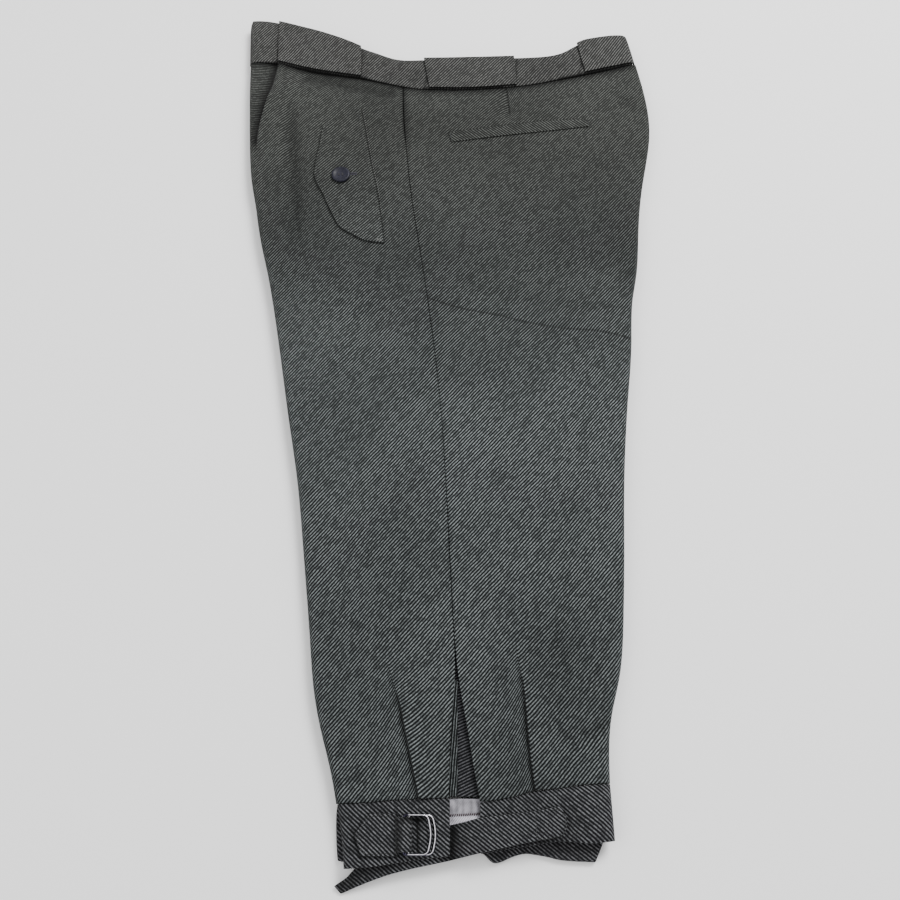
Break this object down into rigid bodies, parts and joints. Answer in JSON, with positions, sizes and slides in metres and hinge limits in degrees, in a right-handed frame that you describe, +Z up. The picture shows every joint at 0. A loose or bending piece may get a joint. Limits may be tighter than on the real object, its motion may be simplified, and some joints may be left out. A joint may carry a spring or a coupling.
{
  "type": "knee breeches",
  "caption": "Grey wool twill knee breeches laid flat in profile, with wide belt tunnels, a buttoned pocket flap, a pleated vented knee and a kneeband with wire rings and a loose strap.",
  "frame": {"origin": "middle of the base of the garment's box, on the surface it lies on", "axes": "+Z up out of the surface, +Y from the kneeband to the waist, -X towards the wearer's front"},
  "size_m": [0.401, 0.8248, 0.022],
  "materials": {
    "wool_twill": "matt two-tone diagonal twill, slightly napped",
    "light_lining": "smooth pale cotton",
    "dark_button": "dull polish",
    "polished_wire": "bright plated wire"
  },
  "bodies": {
    "garment": {"front_panel": "wool_twill", "back_panel": "wool_twill", "hidden_layers": "wool_twill", "waistband_left": "wool_twill", "waistband_right": "wool_twill", "belt_tunnel_front": "wool_twill", "belt_tunnel_side": "wool_twill", "belt_tunnel_back": "wool_twill", "pocket_flap": "wool_twill", "flap_button": "dark_button", "back_welt": "wool_twill", "vent_facing": "wool_twill", "vent_underlap": "wool_twill", "kneeband_left": "wool_twill", "kneeband_right": "wool_twill", "kneeband_lining": "light_lining", "knee_strap": "wool_twill", "ring_tab": "wool_twill"},
    "upper_ring": {"d_ring_upper": "polished_wire"},
    "lower_ring": {"d_ring_lower": "polished_wire"}
  },
  "joints": [
    {"name": "upper_ring_turn", "type": "hinge", "parent": "garment", "child": "upper_ring", "pos_m": [-0.02852, -0.37291, 0.0196], "axis": [0, -1, 0], "range_deg": [0, 115]},
    {"name": "lower_ring_turn", "type": "hinge", "parent": "garment", "child": "lower_ring", "pos_m": [-0.02512, -0.37291, 0.01735], "axis": [0, -1, 0], "range_deg": [0, 115]}
  ],
  "couplings": [
    {"joint": "lower_ring_turn", "follows": "upper_ring_turn", "ratio": 1}
  ]
}
